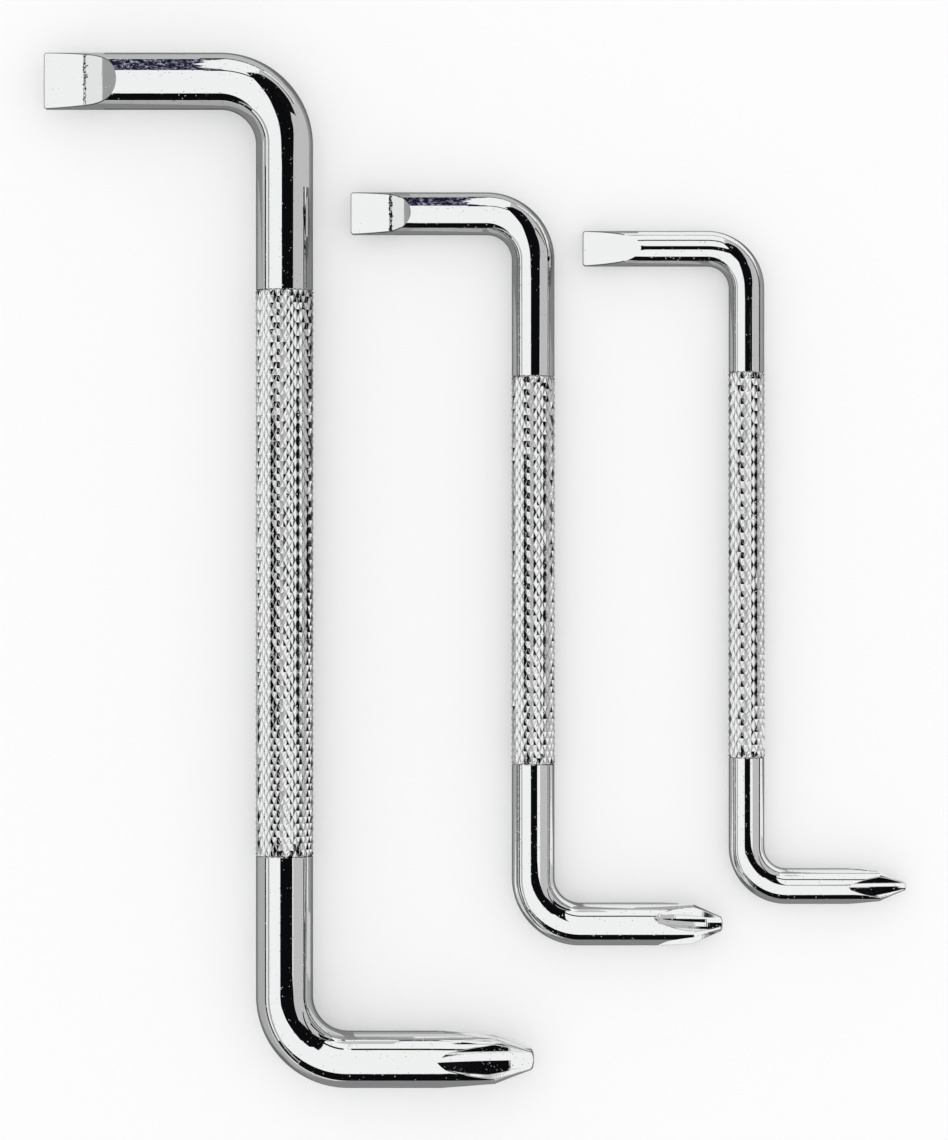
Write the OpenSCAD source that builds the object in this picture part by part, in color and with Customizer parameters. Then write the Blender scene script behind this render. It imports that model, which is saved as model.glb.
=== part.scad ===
// Set of three double-ended offset screwdrivers, lying side by side on a table.
// Each tool is one steel bar bent into a Z: a slotted blade ends the upper arm, a cross point
// ends the lower arm, and a diamond knurl covers the grip on the straight stretch between them.
// X runs along the arms, Y along the grips and Z up from the table. Sizes are in millimetres.

/* [Large screwdriver] */
// Diameter of the round bar, also the width of the blade
large_bar_d = 8; // [7:0.1:9]
// Distance between the axes of the two arms
large_arm_spacing = 137.6; // [120:0.1:170]
// Radius of both bends, at the axis of the bar
large_bend_r = 9; // [6:0.1:14]
// Reach of the blade's edge from the axis of the grip
large_blade_reach = 33.8; // [26:0.1:50]
// Reach of the cross point's end from the axis of the grip
large_point_reach = 35.1; // [26:0.1:50]
// Distance from the axis of the blade arm to the start of the knurl
large_grip_start = 29.5; // [16:0.1:45]
// Length of the knurl
large_grip_l = 79.4; // [40:0.1:95]
// Thickness of the blade at its edge
large_blade_edge_t = 1.2; // [0.8:0.05:2]
// Slope of each flat towards the edge, in degrees
large_blade_taper = 11; // [6:0.5:14]
// Length of each flat, from the edge to the crease where its ramp starts
large_blade_flat_l = 5.85; // [4.5:0.05:7]
// Length of the whole blade, flats and hollow ramps
large_blade_l = 10.1; // [9:0.1:14]
// Radius of the wheel that grinds the hollow ramp behind each flat
large_blade_ramp_r = 20; // [12:0.5:40]
// Diameter of the cross point where its nose begins
large_point_tip_d = 3.75; // [2.8:0.05:4.6]
// Length of the blunt nose
large_point_nose_l = 0.6; // [0.3:0.05:1]
// Length of the cone behind the nose
large_point_cone_l = 4.9; // [3:0.1:7]
// Length of the four flutes
large_point_flute_l = 13.6; // [9:0.1:16]
// Depth of steel left between the axis and a flute's middle at the tip
large_point_core = 1.05; // [0.85:0.05:1.4]
// Width of a flute's floor
large_point_floor_w = 2.14; // [1.2:0.02:2.4]
// Turn of the flutes about the arm, from square to the table
large_point_turn = 0; // [0:1:45]

/* [Medium screwdriver] */
// Diameter of the round bar, also the width of the blade
medium_bar_d = 6; // [5:0.1:7]
// Distance between the axes of the two arms
medium_arm_spacing = 100.1; // [90:0.1:120]
// Radius of both bends, at the axis of the bar
medium_bend_r = 6.6; // [5:0.1:10]
// Reach of the blade's edge from the axis of the grip
medium_blade_reach = 25.7; // [20:0.1:28]
// Reach of the cross point's end from the axis of the grip
medium_point_reach = 26.7; // [20:0.1:40]
// Distance from the axis of the blade arm to the start of the knurl
medium_grip_start = 23; // [12:0.1:36]
// Length of the knurl
medium_grip_l = 54.5; // [30:0.1:66]
// Thickness of the blade at its edge
medium_blade_edge_t = 1; // [0.6:0.05:1.6]
// Slope of each flat towards the edge, in degrees
medium_blade_taper = 9.6; // [5:0.2:13]
// Length of each flat, from the edge to the crease where its ramp starts
medium_blade_flat_l = 5.65; // [4:0.05:6.5]
// Length of the whole blade, flats and hollow ramps
medium_blade_l = 8.5; // [7.6:0.1:12]
// Radius of the wheel that grinds the hollow ramp behind each flat
medium_blade_ramp_r = 15; // [9:0.5:30]
// Diameter of the cross point where its nose begins
medium_point_tip_d = 2.45; // [1.9:0.05:3.2]
// Length of the blunt nose
medium_point_nose_l = 0.45; // [0.2:0.05:0.8]
// Length of the cone behind the nose
medium_point_cone_l = 3.7; // [2.4:0.1:5]
// Length of the four flutes
medium_point_flute_l = 9.8; // [7:0.1:12]
// Depth of steel left between the axis and a flute's middle at the tip
medium_point_core = 0.71; // [0.6:0.01:1]
// Width of a flute's floor
medium_point_floor_w = 1.34; // [0.8:0.02:1.6]
// Turn of the flutes about the arm, from square to the table
medium_point_turn = 20; // [0:1:45]

/* [Small screwdriver] */
// Diameter of the round bar, also the width of the blade
small_bar_d = 5; // [4.4:0.1:6]
// Distance between the axes of the two arms
small_arm_spacing = 89.9; // [84:0.1:110]
// Radius of both bends, at the axis of the bar
small_bend_r = 5.6; // [4:0.1:8]
// Reach of the blade's edge from the axis of the grip
small_blade_reach = 23.1; // [18:0.1:24]
// Reach of the cross point's end from the axis of the grip
small_point_reach = 22.5; // [18:0.1:36]
// Distance from the axis of the blade arm to the start of the knurl
small_grip_start = 17.5; // [10:0.1:28]
// Length of the knurl
small_grip_l = 54.2; // [30:0.1:62]
// Thickness of the blade at its edge
small_blade_edge_t = 0.8; // [0.5:0.05:1.4]
// Slope of each flat towards the edge, in degrees
small_blade_taper = 12; // [7:0.5:13]
// Length of each flat, from the edge to the crease where its ramp starts
small_blade_flat_l = 5.5; // [4:0.05:6.4]
// Length of the whole blade, flats and hollow ramps
small_blade_l = 8.2; // [7:0.1:9.4]
// Radius of the wheel that grinds the hollow ramp behind each flat
small_blade_ramp_r = 40; // [16:1:60]
// Diameter of the cross point where its nose begins
small_point_tip_d = 1.55; // [1.2:0.05:2]
// Length of the blunt nose
small_point_nose_l = 0.3; // [0.15:0.05:0.6]
// Length of the cone behind the nose
small_point_cone_l = 3.55; // [2.4:0.05:5]
// Length of the four flutes
small_point_flute_l = 8.3; // [6:0.1:11]
// Depth of steel left between the axis and a flute's middle at the tip
small_point_core = 0.41; // [0.36:0.01:0.6]
// Width of a flute's floor
small_point_floor_w = 0.84; // [0.5:0.02:1]
// Turn of the flutes about the arm, from square to the table
small_point_turn = 0; // [0:1:45]

/* [Shared forms] */
// Height of the knurl's points above the plain bar
knurl_rise = 0.08; // [0.02:0.01:0.12]
// Depth of the knurl's grooves below the plain bar
knurl_depth = 0.25; // [0.2:0.01:0.4]
// Spacing of the knurl's diamonds round the bar
knurl_pitch_round = 1.05; // [1:0.05:1.6]
// Spacing of the knurl's diamonds along the bar
knurl_pitch_along = 2.3; // [2.2:0.1:3.2]
// Slope of the two halves of a flute's floor towards its middle, in degrees
flute_floor_slope = 17; // [8:1:24]
// Size of the break on the blade's two corners
blade_corner = 0.3; // [0.1:0.05:0.6]

/* [Places on the table] */
// Distance from the large grip's axis to the medium grip's axis
medium_place_x = 35; // [34:0.1:50]
// Distance from the medium grip's axis to the small grip's axis
small_place_x = 30.1; // [30:0.1:50]
// Shift of the medium tool along its grip
medium_place_y = 0.2; // [-5:0.1:5]
// Shift of the small tool along its grip
small_place_y = 0.4; // [-5:0.1:5]

/* [Hidden] */
$fn = 64;
chrome = [0.78, 0.79, 0.80];

// Room that a cutting shape has beyond the steel that it cuts
spare = 1;
// Plain round bar left on a tool's end behind its blade or its flutes
land_l = 0.6;
// Turn that brings the line where a round surface closes on itself clear of the cuts in it. Its sine
// and cosine are short decimals, so a turned bar keeps exactly the radius of the bar it continues.
seam_turn = atan2(4, 3);
// Share of one knurl row that the plain bar laps over at each end of the grip
lap_share = 0.3;
// Share of a blade's flat that is cut straight, whatever the wheel of its ramp reaches
front_share = 0.7;
// Flats round a grinding or milling wheel, which meets the steel with a small part of its rim
wheel_flats = 192;

// Grip axes in the row, before the set is centred on the origin
large_axis_x = 0;
medium_axis_x = large_axis_x + medium_place_x;
small_axis_x = medium_axis_x + small_place_x;

// Sides of the whole set, from which its middle is found
set_left = min(large_axis_x - large_blade_reach, medium_axis_x - medium_blade_reach,
    small_axis_x - small_blade_reach);
set_right = max(large_axis_x + large_point_reach, medium_axis_x + medium_point_reach,
    small_axis_x + small_point_reach);
large_half_l = (large_arm_spacing + large_bar_d) / 2;
medium_half_l = (medium_arm_spacing + medium_bar_d) / 2;
small_half_l = (small_arm_spacing + small_bar_d) / 2;
set_back = max(large_half_l, medium_place_y + medium_half_l, small_place_y + small_half_l);
set_front = min(-large_half_l, medium_place_y - medium_half_l, small_place_y - small_half_l);
set_middle = [(set_left + set_right) / 2, (set_back + set_front) / 2];

// Radius of the wheel that leaves the core at the tip and runs out on the bar's surface
function flute_wheel_r(flute_l, depth) = (flute_l * flute_l + depth * depth) / (2 * depth);

// Blade with its edge at the origin and its arm along +X
module blade(bar_d, edge_t, taper, flat_l, blade_l, ramp_r) {
    bar_r = bar_d / 2;
    // A ramp's wheel passes through the crease at the end of the flat and through the bar's top
    // at the end of the blade
    crease_h = edge_t / 2 + flat_l * tan(taper);
    ramp_l = blade_l - flat_l;
    ramp_h = bar_r - crease_h;
    chord = norm([ramp_l, ramp_h]);
    stand_off = sqrt(ramp_r * ramp_r - chord * chord / 4);
    wheel_x = flat_l + ramp_l / 2 - ramp_h / chord * stand_off;
    wheel_z = crease_h + ramp_h / 2 + ramp_l / chord * stand_off;
    difference() {
        rotate([0, 90, 0]) rotate(seam_turn) cylinder(h = blade_l + land_l, d = bar_d);
        // Steel goes where it is above the flat's plane and inside the wheel, or well before the crease
        for (face = [0, 1])
            mirror([0, 0, face]) intersection() {
                translate([0, 0, edge_t / 2]) rotate([0, -taper, 0])
                    translate([-2 * spare, -bar_r - spare, 0])
                        cube([blade_l + bar_d, bar_d + 2 * spare, 2 * bar_d]);
                union() {
                    translate([wheel_x, 0, wheel_z]) rotate([90, 0, 0]) rotate(seam_turn)
                        cylinder(h = bar_d + 4 * spare, r = ramp_r, center = true, $fn = wheel_flats);
                    translate([-4 * spare, -bar_r - 2 * spare, 0])
                        cube([4 * spare + front_share * flat_l, bar_d + 4 * spare, 3 * bar_d]);
                }
            }
        for (side = [0, 1])
            mirror([0, side, 0]) linear_extrude(bar_d, center = true)
                polygon([
                    [-spare, bar_r - blade_corner - spare],
                    [blade_corner + spare, bar_r + spare],
                    [-spare, bar_r + spare]
                ]);
    }
}

// Ring swept by the rim of the wheel that cuts a flute: a blunt V with flanks at half a right angle
module flute_wheel(wheel_r, floor_w, depth) {
    floor_rise = floor_w / 2 * tan(flute_floor_slope);
    shoulder_r = wheel_r - floor_rise;
    rotate_extrude($fn = wheel_flats)
        polygon([
            [wheel_r, 0],
            [shoulder_r, floor_w / 2],
            [shoulder_r - depth, floor_w / 2 + depth],
            [shoulder_r - depth, -floor_w / 2 - depth],
            [shoulder_r, -floor_w / 2]
        ]);
}

// Cross point with its end at the origin and its arm along +Z; the first flute faces +X
module cross_point(bar_d, tip_d, nose_l, cone_l, flute_l, core, floor_w, turn) {
    bar_r = bar_d / 2;
    depth = bar_r - core;
    wheel_r = flute_wheel_r(flute_l, depth);
    difference() {
        rotate(seam_turn) rotate_extrude()
            polygon([
                [0, 0],
                [tip_d / 2, nose_l],
                [bar_r, nose_l + cone_l],
                [bar_r, flute_l + land_l],
                [0, flute_l + land_l]
            ]);
        for (quarter = [0 : 90 : 270])
            rotate(turn + quarter) translate([core + wheel_r, 0, 0]) rotate([90, 0, 0])
                flute_wheel(wheel_r, floor_w, depth + spare);
    }
}

// Knurled grip along +Z: rows of points and grooves in turn, both end rows at groove depth
module knurl(bar_d, grip_l, rows) {
    columns = 2 * round(PI * bar_d / knurl_pitch_round);
    row_h = grip_l / rows;
    groove_r = bar_d / 2 - knurl_depth;
    point_r = bar_d / 2 + knurl_rise;
    function in_groove(row, column) = row == 0 || row == rows || (row + column) % 2 == 0;
    function corner(row, column) = row * columns + column % columns;
    bottom_middle = (rows + 1) * columns;
    top_middle = bottom_middle + 1;
    polyhedron(
        points = [
            for (row = [0 : rows]) for (column = [0 : columns - 1])
                let (r = in_groove(row, column) ? groove_r : point_r, a = 360 * column / columns)
                [r * cos(a), r * sin(a), row * row_h],
            [0, 0, 0],
            [0, 0, grip_l]
        ],
        faces = [
            for (row = [0 : rows - 1]) for (column = [0 : columns - 1])
                let (
                    low = corner(row, column),
                    low_next = corner(row, column + 1),
                    high = corner(row + 1, column),
                    high_next = corner(row + 1, column + 1)
                )
                each (row + column) % 2 == 0
                    ? [[low, high_next, low_next], [low, high, high_next]]
                    : [[low, high, low_next], [low_next, high, high_next]],
            for (column = [0 : columns - 1])
                [bottom_middle, corner(0, column), corner(0, column + 1)],
            for (column = [0 : columns - 1])
                [top_middle, corner(rows, column + 1), corner(rows, column)]
        ]
    );
}

// Quarter bend from a grip that runs along +Y from the origin to an arm that runs along -X
module bend(bar_d, bend_r) {
    translate([-bend_r, 0, 0]) rotate_extrude(angle = 90) translate([bend_r, 0]) circle(d = bar_d);
}

// Plain straight bar along +Y between two stations
module straight_bar(bar_d, from_y, to_y) {
    translate([0, from_y, 0]) rotate([-90, 0, 0]) cylinder(h = to_y - from_y, d = bar_d);
}

// Plain arm along +X between two stations
module straight_arm(bar_d, from_x, to_x) {
    translate([from_x, 0, 0]) rotate([0, 90, 0]) cylinder(h = to_x - from_x, d = bar_d);
}

// Raises a tool so that its knurl touches the table, and sets it in its place in the row
module place(bar_d, axis_x, shift_y = 0) {
    translate([axis_x - set_middle[0], shift_y - set_middle[1], bar_d / 2 + knurl_rise]) children();
}

// Bent bar without its two ends: straights, bends, plain arms and knurl, centred between the arms
module bent_bar(bar_d, arm_spacing, bend_r, blade_arm_end, point_arm_end, grip_start, grip_l) {
    arm_y = arm_spacing / 2;
    grip_top = arm_y - grip_start;
    grip_bottom = grip_top - grip_l;
    rows = 2 * round(grip_l / knurl_pitch_along);
    lap = lap_share * grip_l / rows;
    straight_bar(bar_d, bend_r - arm_y, grip_bottom + lap);
    translate([0, grip_bottom, 0]) rotate([-90, 0, 0]) knurl(bar_d, grip_l, rows);
    straight_bar(bar_d, grip_top - lap, arm_y - bend_r);
    translate([0, arm_y - bend_r, 0]) bend(bar_d, bend_r);
    rotate(180) translate([0, arm_y - bend_r, 0]) bend(bar_d, bend_r);
    translate([0, arm_y, 0]) straight_arm(bar_d, -blade_arm_end, -bend_r);
    translate([0, -arm_y, 0]) straight_arm(bar_d, bend_r, point_arm_end);
}

module large_screwdriver() {
    color(chrome) place(large_bar_d, large_axis_x) {
        bent_bar(large_bar_d, large_arm_spacing, large_bend_r,
            blade_arm_end = large_blade_reach - large_blade_l - land_l,
            point_arm_end = large_point_reach - large_point_flute_l - land_l,
            grip_start = large_grip_start, grip_l = large_grip_l);
        translate([-large_blade_reach, large_arm_spacing / 2, 0])
            blade(large_bar_d, large_blade_edge_t, large_blade_taper, large_blade_flat_l,
                large_blade_l, large_blade_ramp_r);
        translate([large_point_reach, -large_arm_spacing / 2, 0]) rotate([0, -90, 0])
            cross_point(large_bar_d, large_point_tip_d, large_point_nose_l, large_point_cone_l,
                large_point_flute_l, large_point_core, large_point_floor_w, large_point_turn);
    }
}

module medium_screwdriver() {
    color(chrome) place(medium_bar_d, medium_axis_x, medium_place_y) {
        bent_bar(medium_bar_d, medium_arm_spacing, medium_bend_r,
            blade_arm_end = medium_blade_reach - medium_blade_l - land_l,
            point_arm_end = medium_point_reach - medium_point_flute_l - land_l,
            grip_start = medium_grip_start, grip_l = medium_grip_l);
        translate([-medium_blade_reach, medium_arm_spacing / 2, 0])
            blade(medium_bar_d, medium_blade_edge_t, medium_blade_taper, medium_blade_flat_l,
                medium_blade_l, medium_blade_ramp_r);
        translate([medium_point_reach, -medium_arm_spacing / 2, 0]) rotate([0, -90, 0])
            cross_point(medium_bar_d, medium_point_tip_d, medium_point_nose_l, medium_point_cone_l,
                medium_point_flute_l, medium_point_core, medium_point_floor_w, medium_point_turn);
    }
}

module small_screwdriver() {
    color(chrome) place(small_bar_d, small_axis_x, small_place_y) {
        bent_bar(small_bar_d, small_arm_spacing, small_bend_r,
            blade_arm_end = small_blade_reach - small_blade_l - land_l,
            point_arm_end = small_point_reach - small_point_flute_l - land_l,
            grip_start = small_grip_start, grip_l = small_grip_l);
        translate([-small_blade_reach, small_arm_spacing / 2, 0])
            blade(small_bar_d, small_blade_edge_t, small_blade_taper, small_blade_flat_l,
                small_blade_l, small_blade_ramp_r);
        translate([small_point_reach, -small_arm_spacing / 2, 0]) rotate([0, -90, 0])
            cross_point(small_bar_d, small_point_tip_d, small_point_nose_l, small_point_cone_l,
                small_point_flute_l, small_point_core, small_point_floor_w, small_point_turn);
    }
}

large_screwdriver();
medium_screwdriver();
small_screwdriver();
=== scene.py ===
# %% [markdown]
# # A set of offset screwdrivers in bright chrome
# The object is a row of Z-shaped screwdrivers in graded sizes, each one steel bar: bent twice, ground to a
# blade at one end, milled to a cross point at the other, knurled on the grip and chrome plated. The packed
# solids are loaded first and stay as the frame. Each solid is then replaced by one closed skin with finer
# detail.

# %% Load the frame
import math
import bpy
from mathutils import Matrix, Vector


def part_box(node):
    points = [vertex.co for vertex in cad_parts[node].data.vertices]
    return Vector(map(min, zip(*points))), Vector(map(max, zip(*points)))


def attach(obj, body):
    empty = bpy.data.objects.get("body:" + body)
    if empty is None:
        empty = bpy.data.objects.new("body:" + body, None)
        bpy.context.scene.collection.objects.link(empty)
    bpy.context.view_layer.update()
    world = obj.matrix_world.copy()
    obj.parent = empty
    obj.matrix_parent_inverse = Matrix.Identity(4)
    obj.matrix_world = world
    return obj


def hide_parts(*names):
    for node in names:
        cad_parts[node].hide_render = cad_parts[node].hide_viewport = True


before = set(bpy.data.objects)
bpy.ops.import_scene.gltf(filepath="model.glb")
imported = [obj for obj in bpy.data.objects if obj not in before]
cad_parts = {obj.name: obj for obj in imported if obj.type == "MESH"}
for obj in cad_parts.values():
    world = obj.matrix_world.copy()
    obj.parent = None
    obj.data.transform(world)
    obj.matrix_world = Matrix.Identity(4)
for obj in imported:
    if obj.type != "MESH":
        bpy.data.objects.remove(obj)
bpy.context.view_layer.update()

from types import SimpleNamespace

import bmesh
import bpy
from mathutils import Matrix, Vector, noise

print("frame nodes:", sorted(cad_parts))

# %% [markdown]
# ## Sizes
# A maker of these tools would have one drawing and a table of sizes, so the script has one set of functions
# and this table. Lengths are in millimetres and angles in degrees, in a tool's own frame: the grip's axis
# is Y, the blade arm points to -X at the top and the point arm to +X at the bottom. Working in millimetres
# keeps the numbers readable, and one scale at the end brings them to Blender's metres.

# %% Table of sizes
TOOLS = {
    "large_screwdriver": dict(
        bar_d=8, arm_spacing=137.6, bend_r=9, blade_reach=33.8, point_reach=35.1, grip_start=29.5,
        grip_l=79.4, edge_t=1.2, taper=11, flat_l=5.85, blade_l=10.45, ramp_r=8.8, crease=0.05, crease_w=0.2,
        tip_d=3.75, nose_l=0.6, cone_l=4.9, flute_l=13.6, core=1.05, floor_w=2.14, turn=0,
        knurl_starts=27, knurl_pitch=1.84, facets_per_start=4),
    "medium_screwdriver": dict(
        bar_d=6, arm_spacing=100.1, bend_r=6.6, blade_reach=25.7, point_reach=26.7, grip_start=23,
        grip_l=54.5, edge_t=1, taper=9.6, flat_l=5.65, blade_l=8.5, ramp_r=15, crease=0.055, crease_w=0.36,
        tip_d=2.45, nose_l=0.45, cone_l=3.7, flute_l=9.8, core=0.71, floor_w=1.34, turn=20,
        knurl_starts=20, knurl_pitch=1.84, facets_per_start=5),
    "small_screwdriver": dict(
        bar_d=5, arm_spacing=89.9, bend_r=5.6, blade_reach=23.1, point_reach=22.5, grip_start=17.5,
        grip_l=54.2, edge_t=0.8, taper=12, flat_l=5.5, blade_l=8.2, ramp_r=40, crease=0, crease_w=0,
        tip_d=1.55, nose_l=0.3, cone_l=3.55, flute_l=8.3, core=0.41, floor_w=0.84, turn=0,
        knurl_starts=16, knurl_pitch=1.8, facets_per_start=6),
}
KNURL_RISE = 0.08
KNURL_DEPTH = 0.15
LAND = 0.6
MM = 0.001
# Slot 0, which every new face has, is the plain bar's.
KNURL, BLADE, RAMP, EDGE, POINT = range(1, 6)

for tool in TOOLS.values():
    tool["bar_r"] = tool["bar_d"] / 2
    tool["arm_y"] = tool["arm_spacing"] / 2
    tool["around"] = tool["knurl_starts"] * tool["facets_per_start"]
    tool["grip_top"] = tool["arm_y"] - tool["grip_start"]
    tool["grip_bottom"] = tool["grip_top"] - tool["grip_l"]
print("facets round each bar:", [tool["around"] for tool in TOOLS.values()])

# %% [markdown]
# ## Rings that grow into bars
# A bar is a ring of edges that is extruded along a line and spun round a bend, just as a bender feeds and
# turns the real stock. A curve with a bevel would give the same tube, but its end rings could not be welded
# to the knurl and to the ground tips, so the rings are made by hand. Each helper returns the newest ring,
# ready for the next step.

# %% Helpers for rings
FACING_X = Matrix.Rotation(math.radians(90), 4, "Y")
FACING_Y = Matrix.Rotation(math.radians(-90), 4, "X")


def corners_of(items):
    """The points of some edges or faces, each once and in a fixed order."""
    return list(dict.fromkeys(vert for item in items for vert in item.verts))


def ring_on(bm, around, radius, centre, facing):
    """A ring of edges round a centre, square to the X or the Y axis."""
    made = bmesh.ops.create_circle(bm, cap_ends=False, segments=around, radius=radius,
                                   matrix=Matrix.Translation(centre) @ facing)
    return list(dict.fromkeys(edge for vert in made["verts"] for edge in vert.link_edges))


def run_on(bm, ring, along):
    """Extrudes a ring and slides the new ring along."""
    made = bmesh.ops.extrude_edge_only(bm, edges=ring)["geom"]
    bmesh.ops.translate(bm, verts=[item for item in made if isinstance(item, bmesh.types.BMVert)], vec=along)
    return [item for item in made if isinstance(item, bmesh.types.BMEdge) and item.is_boundary]


def bend_on(bm, ring, pivot, steps=56):
    """Spins a ring through a quarter turn to the right."""
    made = bmesh.ops.spin(bm, geom=ring + corners_of(ring), cent=pivot, axis=(0, 0, 1), dvec=(0, 0, 0),
                          angle=math.radians(-90), steps=steps, use_duplicate=False)
    return [item for item in made["geom_last"] if isinstance(item, bmesh.types.BMEdge)]


def shrink_on(bm, ring, along, factor, centre):
    """Extrudes a ring along its axis and scales the new ring about that axis, for cones and domes."""
    newest = run_on(bm, ring, along)
    bmesh.ops.scale(bm, verts=corners_of(newest), vec=(1, factor, factor),
                    space=Matrix.Translation(-Vector(centre)))
    return newest


print("ring helpers are ready")

# %% [markdown]
# ## The diamond knurl
# Knurling wheels press two crossed sets of grooves into the grip and leave rows of low pyramids with worn
# tops. A bump texture could draw them, but a knurl is felt by the hand and breaks the outline, so it is
# real geometry. A coarse tube of one face per diamond is poked, which puts a cross in each face. Dissolving
# the tube's own edges turns the crosses into diamonds, and one inset raises every diamond on four sloping
# flanks. The tops are worn unevenly, so a smooth noise lowers them by a few hundredths of a millimetre.
# Every point also remembers whether it lies in a groove, for the material, which paints the grooves darker
# with dirt and painted shade.

# %% Build a knurl
DIAMOND_FLANK_SHARE = 0.86
KNURL_WEAR = 0.05
WEAR_PATCHES_PER_MM = 1.7


def push_to_radius(verts, radius, wear=0.0):
    """Moves points straight out from or in to the Y axis, some of them a little less far."""
    for vert in verts:
        reach = radius - wear * (0.5 + 0.5 * noise.noise(vert.co * WEAR_PATCHES_PER_MM))
        factor = reach / math.hypot(vert.co.x, vert.co.z)
        vert.co.x *= factor
        vert.co.z *= factor


def knurl(bm, tool):
    """Fills an empty bmesh with the knurled tube, and returns its top ring and bottom ring."""
    in_groove = bm.verts.layers.float.new("groove")
    groove_r = tool["bar_r"] - KNURL_DEPTH
    rows = round(tool["grip_l"] / tool["knurl_pitch"])
    row_h = tool["grip_l"] / rows
    ring = ring_on(bm, tool["knurl_starts"], groove_r, (0, tool["grip_top"], 0), FACING_Y)
    for _ in range(rows):
        ring = run_on(bm, ring, (0, -row_h, 0))
    tube_edges = bm.edges[:]
    bmesh.ops.poke(bm, faces=bm.faces[:])
    bmesh.ops.dissolve_edges(bm, edges=[edge for edge in tube_edges if not edge.is_boundary], use_verts=False)
    push_to_radius(bm.verts, groove_r)

    half_w = math.pi * groove_r / tool["knurl_starts"]
    inner_r = half_w * row_h / 2 / math.hypot(half_w, row_h / 2)
    diamonds = bm.faces[:]
    bmesh.ops.inset_individual(bm, faces=diamonds, thickness=DIAMOND_FLANK_SHARE * inner_r,
                               use_even_offset=True)
    push_to_radius(corners_of(diamonds), tool["bar_r"] + KNURL_RISE, KNURL_WEAR)

    ends = [edge for edge in bm.edges if edge.is_boundary]
    bmesh.ops.subdivide_edges(bm, edges=ends, cuts=tool["facets_per_start"] - 1)
    ends = [edge for edge in bm.edges if edge.is_boundary]
    push_to_radius(corners_of(ends), groove_r)
    for vert in bm.verts:
        vert[in_groove] = 1
    for vert in corners_of(diamonds):
        vert[in_groove] = 0
    for face in bm.faces:
        face.material_index = KNURL
    middle = tool["grip_top"] - tool["grip_l"] / 2
    print("  knurl:", len(diamonds), "diamonds in", rows, "rows")
    return [[edge for edge in ends if (edge.verts[0].co.y - middle) * side > 0] for side in (1, -1)]


# %% [markdown]
# ## The bent bar
# Both ends of the bar are alike: a plain arm, a quarter bend and a straight stretch up to the knurl. One
# function makes either of them, because the point's end is the blade's end turned half round. The last ring
# stands a hair away from the knurl, and bridging it to the knurl's ring makes the small chamfer that a
# knurling wheel leaves.

# %% Build one bent end
KNURL_CHAMFER = 0.12


def bent_end(bm, tool, side, reach, tip_l):
    """One end of the bar, from the tip's root to the knurl. Side 1 is the blade's end and -1 the point's."""
    root_x, bend_r, arm_y = reach - tip_l - LAND, tool["bend_r"], tool["arm_y"]
    knurl_y = tool["grip_top"] if side > 0 else -tool["grip_bottom"]
    ring = ring_on(bm, tool["around"], tool["bar_r"], (-side * root_x, side * arm_y, 0), FACING_X)
    ring = run_on(bm, ring, (side * (root_x - bend_r), 0, 0))
    ring = bend_on(bm, ring, (-side * bend_r, side * (arm_y - bend_r), 0))
    return run_on(bm, ring, (0, -side * (arm_y - bend_r - knurl_y - KNURL_CHAMFER), 0))


# %% [markdown]
# ## Cutting like a grinder
# Blade and point are bar ends with steel taken away, so they are made the same way: a closed blank, and
# cutters in the shape of the grinding wheels. A Boolean modifier subtracts each cutter exactly. The result
# goes straight back into a bmesh. The modifier may hand over points, edges and faces in any order, so they
# are sorted by place and the next steps go the same way in every run. Then the sharp edges get a narrow
# bevel, because polishing and plating round every real edge a little. The borders of each bevel are marked
# sharp, so that the flats beside it keep their own even shading.

# %% Helpers for cutting
SHARP_ANGLE = math.radians(24)
BEVEL_ANGLE = math.radians(50)
MERGE_GAP = 0.004
ROOT_GAP = 0.01
PLANE_GAP = 0.0001
SORT_DIGITS = 4
X_FIRST, Y_NEXT = 1e10, 1e5


def close_ends(bm):
    """Fills every open ring with one face."""
    bmesh.ops.holes_fill(bm, edges=[edge for edge in bm.edges if edge.is_boundary], sides=0)
    bmesh.ops.recalc_face_normals(bm, faces=bm.faces)


def trim(bm, point, normal, **side):
    """Cuts off what lies on one side of a plane, and closes the cut."""
    bmesh.ops.bisect_plane(bm, geom=bm.verts[:] + bm.edges[:] + bm.faces[:], dist=PLANE_GAP, plane_co=point,
                           plane_no=normal, **side)
    close_ends(bm)


def mesh_object(bm, name):
    """Turns a bmesh into an object of the scene."""
    mesh = bpy.data.meshes.new(name)
    bm.to_mesh(mesh)
    bm.free()
    made = bpy.data.objects.new(name, mesh)
    bpy.context.scene.collection.objects.link(made)
    return made


def place_key(item):
    """One number for where a point, an edge or a face lies, which sorts along X, then Y, then Z."""
    corners = [item] if isinstance(item, bmesh.types.BMVert) else item.verts
    middle = sum((corner.co for corner in corners), Vector()) / len(corners)
    x, y, z = (round(value, SORT_DIGITS) for value in middle)
    return x * X_FIRST + y * Y_NEXT + z


def carve(blank, cutters):
    """Subtracts each cutter from the blank and returns what is left, as a bmesh."""
    piece = mesh_object(blank, "blank")
    wheels = [mesh_object(cutter, "cutter") for cutter in cutters]
    for wheel in wheels:
        cut = piece.modifiers.new("cut", "BOOLEAN")
        cut.operation, cut.solver, cut.object = "DIFFERENCE", "EXACT", wheel
    left = bmesh.new()
    left.from_object(piece, bpy.context.evaluated_depsgraph_get())
    for items in (left.verts, left.edges, left.faces):
        items.sort(key=place_key)
    for item in [piece, *wheels]:
        mesh = item.data
        bpy.data.objects.remove(item)
        bpy.data.meshes.remove(mesh)
    return left


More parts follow.
